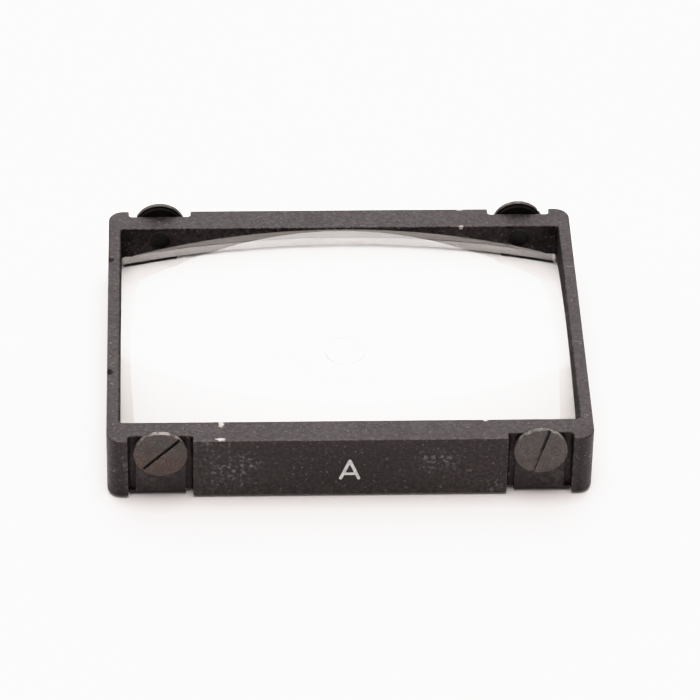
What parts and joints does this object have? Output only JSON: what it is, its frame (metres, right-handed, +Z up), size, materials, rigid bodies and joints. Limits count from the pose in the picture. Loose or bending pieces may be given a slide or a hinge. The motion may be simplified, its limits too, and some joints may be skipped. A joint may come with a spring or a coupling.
{
  "type": "negative carrier",
  "caption": "Black metal frame carrying a rectangular domed condenser lens over a split-image focusing plate, held by folded spring clips under slotted cheese-head screws.",
  "frame": {"origin": "on the surface that the clip feet stand on, under the middle of the frame", "axes": "+X along the long side, +Y from the front rail with the index letter to the rear rail, +Z up towards the domed side of the lens"},
  "size_m": [0.039, 0.0308, 0.007],
  "materials": {
    "black_enamel": "fine matt black enamel, slightly rough at the edges",
    "white_fill": "white paint wiped into an engraving",
    "condenser_glass": "polished optical glass",
    "plate_glass": "polished optical glass, finely ground underneath",
    "spring_steel": "blackened spring steel, matt",
    "screw_steel": "brown-black oxidised steel, satin"
  },
  "bodies": {
    "carrier": {"frame": "black_enamel", "index_letter": "white_fill", "condenser_lens": "condenser_glass", "focusing_plate": "plate_glass", "prism_front": "plate_glass", "prism_rear": "plate_glass", "front_left_clip": "spring_steel", "front_right_clip": "spring_steel", "rear_left_clip": "spring_steel", "rear_right_clip": "spring_steel"},
    "front_left_screw": {"front_left_screw": "screw_steel"},
    "front_right_screw": {"front_right_screw": "screw_steel"},
    "rear_left_screw": {"rear_left_screw": "screw_steel"},
    "rear_right_screw": {"rear_right_screw": "screw_steel"}
  },
  "joints": [
    {"name": "front_left_screw_turn", "type": "hinge", "parent": "carrier", "child": "front_left_screw", "pos_m": [-0.0152, -0.015, 0.00446], "axis": [0, -1, 0], "range_deg": [0, 270]},
    {"name": "front_right_screw_turn", "type": "hinge", "parent": "carrier", "child": "front_right_screw", "pos_m": [0.0152, -0.015, 0.00446], "axis": [0, -1, 0], "range_deg": [0, 270]},
    {"name": "rear_left_screw_turn", "type": "hinge", "parent": "carrier", "child": "rear_left_screw", "pos_m": [-0.0152, 0.015, 0.00446], "axis": [0, 1, 0], "range_deg": [0, 270]},
    {"name": "rear_right_screw_turn", "type": "hinge", "parent": "carrier", "child": "rear_right_screw", "pos_m": [0.0152, 0.015, 0.00446], "axis": [0, 1, 0], "range_deg": [0, 270]}
  ]
}
